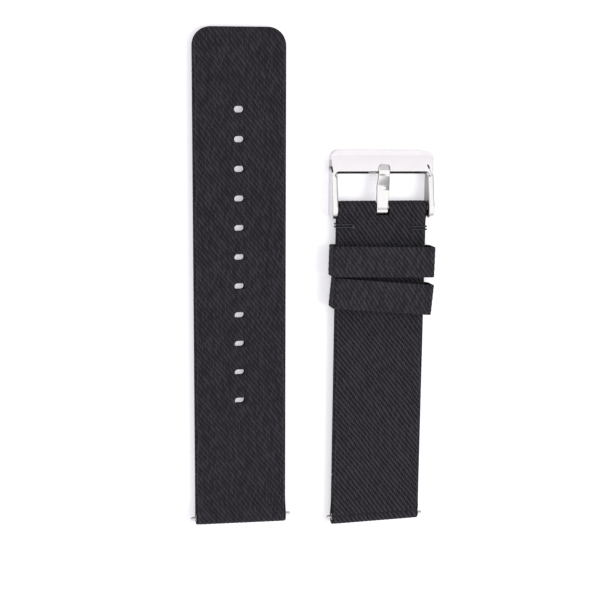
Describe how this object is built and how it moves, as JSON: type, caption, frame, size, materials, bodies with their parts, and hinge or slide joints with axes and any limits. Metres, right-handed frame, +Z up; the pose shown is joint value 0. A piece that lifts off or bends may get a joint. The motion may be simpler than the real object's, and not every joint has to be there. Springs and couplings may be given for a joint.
{
  "type": "canvas watch strap",
  "caption": "Black canvas watch strap laid out as a pair: a tail band with adjustment holes, and a shorter band with a steel pin buckle, keeper loops and sprung lug bars.",
  "frame": {"origin": "middle of the laid-out pair, on the surface that it lies on", "axes": "+X across the straps from the tail band to the buckle band, +Y along the straps from the lug ends to the tip, +Z up"},
  "size_m": [0.0594, 0.1205, 0.0054],
  "materials": {
    "canvas": "black twill canvas",
    "interlining": "stiff pressed interlining",
    "thread": "black waxed thread",
    "buckle_steel": "satin plate with polished sides",
    "tongue_steel": "polished",
    "bar_steel": "plain drawn steel"
  },
  "bodies": {
    "long_half": {"long_face": "canvas", "long_core": "interlining", "long_lining": "canvas"},
    "long_lug_bar": {"long_lug_bar_tube": "bar_steel", "long_lug_bar_spring": "bar_steel"},
    "long_lug_pin_left": {"long_lug_bar_pin_left": "bar_steel"},
    "long_lug_pin_right": {"long_lug_bar_pin_right": "bar_steel"},
    "short_half": {"short_face": "canvas", "short_core": "interlining", "short_lining": "canvas", "tack_stitch_left": "thread", "tack_stitch_right": "thread", "fixed_keeper": "canvas"},
    "free_keeper": {"free_keeper": "canvas"},
    "short_lug_bar": {"short_lug_bar_tube": "bar_steel", "short_lug_bar_spring": "bar_steel"},
    "short_lug_pin_left": {"short_lug_bar_pin_left": "bar_steel"},
    "short_lug_pin_right": {"short_lug_bar_pin_right": "bar_steel"},
    "buckle_bar": {"buckle_bar_tube": "bar_steel", "buckle_bar_spring": "bar_steel"},
    "buckle_pin_left": {"buckle_bar_pin_left": "bar_steel"},
    "buckle_pin_right": {"buckle_bar_pin_right": "bar_steel"},
    "buckle_frame": {"buckle_frame": "buckle_steel"},
    "buckle_tongue": {"buckle_tongue": "tongue_steel"}
  },
  "joints": [
    {"name": "halves_apart", "type": "slide", "parent": "long_half", "child": "short_half", "axis": [1, 0, 0], "range_m": [0, 0.05]},
    {"name": "long_lug_bar_spin", "type": "hinge", "parent": "long_half", "child": "long_lug_bar", "pos_m": [-0.01743, -0.05685, 0.0015], "axis": [1, 0, 0], "continuous": true},
    {"name": "long_pin_left_press", "type": "slide", "parent": "long_lug_bar", "child": "long_lug_pin_left", "axis": [1, 0, 0], "range_m": [0, 0.0012], "stiffness_N_per_m": 1500, "deforming": ["long_lug_bar_spring"]},
    {"name": "long_pin_right_press", "type": "slide", "parent": "long_lug_bar", "child": "long_lug_pin_right", "axis": [-1, 0, 0], "range_m": [0, 0.0012], "stiffness_N_per_m": 1500, "deforming": ["long_lug_bar_spring"]},
    {"name": "short_lug_bar_spin", "type": "hinge", "parent": "short_half", "child": "short_lug_bar", "pos_m": [0.01618, -0.05865, 0.0015], "axis": [1, -0.0094, 0], "continuous": true},
    {"name": "short_pin_left_press", "type": "slide", "parent": "short_lug_bar", "child": "short_lug_pin_left", "axis": [1, -0.0094, 0], "range_m": [0, 0.0012], "stiffness_N_per_m": 1500, "deforming": ["short_lug_bar_spring"]},
    {"name": "short_pin_right_press", "type": "slide", "parent": "short_lug_bar", "child": "short_lug_pin_right", "axis": [-1, 0.0094, 0], "range_m": [0, 0.0012], "stiffness_N_per_m": 1500, "deforming": ["short_lug_bar_spring"]},
    {"name": "free_keeper_slide", "type": "slide", "parent": "short_half", "child": "free_keeper", "axis": [-0.0094, -1, 0], "range_m": [0, 0.045]},
    {"name": "buckle_bar_spin", "type": "hinge", "parent": "short_half", "child": "buckle_bar", "pos_m": [0.0169, 0.0181, 0.0023], "axis": [1, -0.0094, 0], "continuous": true},
    {"name": "buckle_pin_left_press", "type": "slide", "parent": "buckle_bar", "child": "buckle_pin_left", "axis": [1, -0.0094, 0], "range_m": [0, 0.0012], "stiffness_N_per_m": 1500, "deforming": ["buckle_bar_spring"]},
    {"name": "buckle_pin_right_press", "type": "slide", "parent": "buckle_bar", "child": "buckle_pin_right", "axis": [-1, 0.0094, 0], "range_m": [0, 0.0012], "stiffness_N_per_m": 1500, "deforming": ["buckle_bar_spring"]},
    {"name": "buckle_swing", "type": "hinge", "parent": "short_half", "child": "buckle_frame", "pos_m": [0.0169, 0.0181, 0.0023], "axis": [1, -0.0094, 0], "range_deg": [-120, 100]},
    {"name": "tongue_swing", "type": "hinge", "parent": "buckle_frame", "child": "buckle_tongue", "pos_m": [0.0169, 0.0181, 0.0023], "axis": [1, -0.0094, 0], "range_deg": [0, 100]}
  ]
}
